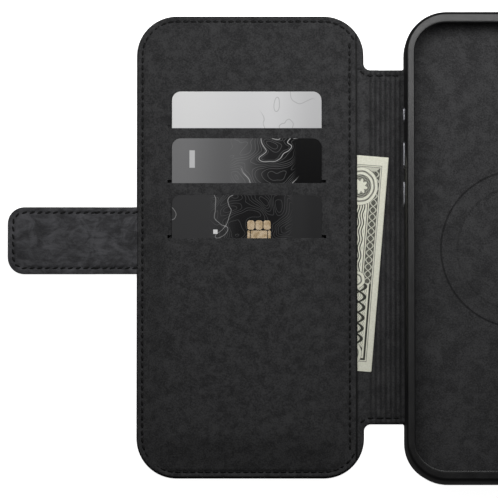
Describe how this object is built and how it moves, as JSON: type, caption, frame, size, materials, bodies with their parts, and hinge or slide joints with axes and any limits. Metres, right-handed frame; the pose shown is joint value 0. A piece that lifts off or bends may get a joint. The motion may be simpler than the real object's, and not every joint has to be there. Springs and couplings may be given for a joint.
{
  "type": "phone wallet case",
  "caption": "Open leather folio case: a soft-rimmed tray holds a phone, and a folding cover with card slots and a cash pocket closes over it with a magnetic strap.",
  "frame": {"origin": "centre of the magnet ring, on the outer leather face of the phone tray's back", "axes": "+X towards the tray's free side, away from the cover; +Y towards the phone's top; +Z out of the open tray"},
  "size_m": [0.2271, 0.1714, 0.0122],
  "materials": {
    "smooth_leather": "smooth black full-grain leather",
    "microsuede": "matt charcoal microsuede",
    "nubuck": "mottled charcoal nubuck",
    "hard_plastic": "moulded polycarbonate",
    "bumper_rubber": "satin soft-touch rubber",
    "magnet_steel": "nickel-plated",
    "board": "pressed fibreboard",
    "thread": "waxed polyester thread",
    "note_paper": "cotton note paper with fine line engraving",
    "card_silver": "satin silver card",
    "card_grey": "satin graded grey card",
    "card_black": "satin black card",
    "chip_gold": "gold-plated contact pad",
    "button_metal": "dark anodised aluminium"
  },
  "bodies": {
    "shell": {"back_leather": "smooth_leather", "tray": "hard_plastic", "bumper": "bumper_rubber", "shell_lining": "microsuede", "magnet_ring": "magnet_steel", "alignment_magnet": "magnet_steel", "keeper_plate": "magnet_steel", "camera_bezel": "bumper_rubber"},
    "spine": {"spine_leather": "smooth_leather", "spine_lining": "microsuede", "spine_thread": "thread", "banknote_outer": "note_paper"},
    "cover": {"cover_leather": "smooth_leather", "cover_board": "board", "pocket_back_lining": "microsuede", "card_backing": "microsuede", "divider_upper": "microsuede", "divider_lower": "microsuede", "cover_lining": "microsuede", "cover_thread": "thread", "banknote_inner": "note_paper", "strap_root": "nubuck"},
    "strap_side": {"strap_side_leather": "nubuck", "strap_side_lining": "nubuck", "strap_side_thread": "thread"},
    "strap_tip": {"strap_tip_leather": "nubuck", "strap_tip_lining": "nubuck", "strap_core": "board", "strap_magnets": "magnet_steel", "strap_tip_thread": "thread"},
    "card_a": {"card_upper": "card_silver"},
    "card_b": {"card_middle": "card_grey"},
    "card_c": {"card_lower": "card_black", "card_chip": "chip_gold"},
    "action": {"action_button": "button_metal"},
    "volume_up": {"volume_up_button": "button_metal"},
    "volume_down": {"volume_down_button": "button_metal"},
    "side": {"side_button": "button_metal"}
  },
  "joints": [
    {"name": "spine_fold", "type": "hinge", "parent": "shell", "child": "spine", "pos_m": [-0.043, 0, 0.0019], "axis": [0, 1, 0], "range_deg": [-90, 90]},
    {"name": "cover_fold", "type": "hinge", "parent": "spine", "child": "cover", "pos_m": [-0.0589, 0, 0.0019], "axis": [0, 1, 0], "range_deg": [-90, 90]},
    {"name": "strap_side_fold", "type": "hinge", "parent": "cover", "child": "strap_side", "pos_m": [-0.1443, 0, 0.0025], "axis": [0, 1, 0], "range_deg": [-30, 90]},
    {"name": "strap_tip_fold", "type": "hinge", "parent": "strap_side", "child": "strap_tip", "pos_m": [-0.1619, 0, 0.0025], "axis": [0, 1, 0], "range_deg": [-30, 90]},
    {"name": "card_upper_slide", "type": "slide", "parent": "cover", "child": "card_a", "axis": [0, 1, 0], "range_m": [0, 0.072]},
    {"name": "card_middle_slide", "type": "slide", "parent": "cover", "child": "card_b", "axis": [0, 1, 0], "range_m": [0, 0.072]},
    {"name": "card_lower_slide", "type": "slide", "parent": "cover", "child": "card_c", "axis": [0, 1, 0], "range_m": [0, 0.072]},
    {"name": "action_press", "type": "slide", "parent": "shell", "child": "action", "axis": [1, 0, 0], "range_m": [0, 0.00035], "stiffness_N_per_m": 1500},
    {"name": "volume_up_press", "type": "slide", "parent": "shell", "child": "volume_up", "axis": [1, 0, 0], "range_m": [0, 0.00035], "stiffness_N_per_m": 1500},
    {"name": "volume_down_press", "type": "slide", "parent": "shell", "child": "volume_down", "axis": [1, 0, 0], "range_m": [0, 0.00035], "stiffness_N_per_m": 1500},
    {"name": "side_press", "type": "slide", "parent": "shell", "child": "side", "axis": [-1, 0, 0], "range_m": [0, 0.00035], "stiffness_N_per_m": 1500}
  ]
}
